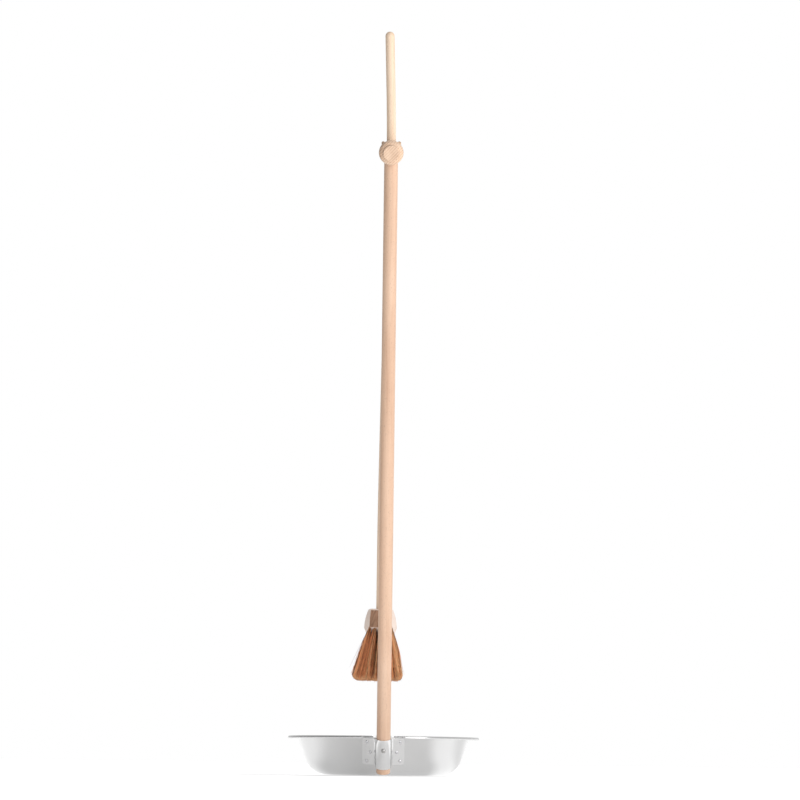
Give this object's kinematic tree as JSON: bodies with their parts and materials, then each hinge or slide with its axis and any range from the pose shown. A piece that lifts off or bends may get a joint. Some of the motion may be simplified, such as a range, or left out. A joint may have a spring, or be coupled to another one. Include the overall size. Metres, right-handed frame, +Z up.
{
  "type": "dust pan and brush set",
  "caption": "Long-handled sweeping set: a round-backed sheet-metal dust pan on a beech stick, with a long brush hanging in a turned clip behind the stick's top.",
  "frame": {"origin": "centre of the pan's round base, on the floor", "axes": "+Z up, +Y out of the pan's mouth, the sticks lean back towards -Y, +X across"},
  "size_m": [0.326, 0.5782, 1.1541],
  "materials": {
    "pan_aluminium": "satin",
    "bracket_aluminium": "satin, pressed",
    "rivet_metal": "satin",
    "screw_steel": "zinc plated",
    "beech": "smooth, oiled",
    "beech_turned": "smooth, turned",
    "beech_pale": "smooth, oiled",
    "beech_block": "smooth, oiled",
    "bristle": "natural hair bundles",
    "staple_wire": "drawn wire"
  },
  "bodies": {
    "dustpan": {"pan_shell": "pan_aluminium", "socket_bracket": "bracket_aluminium", "bracket_rivets": "rivet_metal", "socket_screw": "screw_steel", "pan_stick": "beech"},
    "holder": {"knob": "beech_turned", "knob_pin": "screw_steel", "spindle": "beech_turned", "thrust_washers": "screw_steel", "holder_clip": "beech_turned"},
    "brush": {"brush_stick": "beech_pale", "hanging_pin": "screw_steel", "brush_block": "beech_block", "block_screw": "screw_steel", "tufts_row_1": "bristle", "tufts_row_2": "bristle", "tufts_row_3": "bristle", "tufts_row_4": "bristle", "tufts_row_5": "bristle", "tuft_staples": "staple_wire"}
  },
  "joints": [
    {"name": "holder_swivel", "type": "hinge", "parent": "dustpan", "child": "holder", "pos_m": [0, -0.49697, 0.96665], "axis": [0, 0.9367, 0.3502], "range_deg": [-25, 25]},
    {"name": "brush_pull_off", "type": "slide", "parent": "holder", "child": "brush", "axis": [0, 0.9367, 0.3502], "range_m": [0, 0.14]}
  ]
}
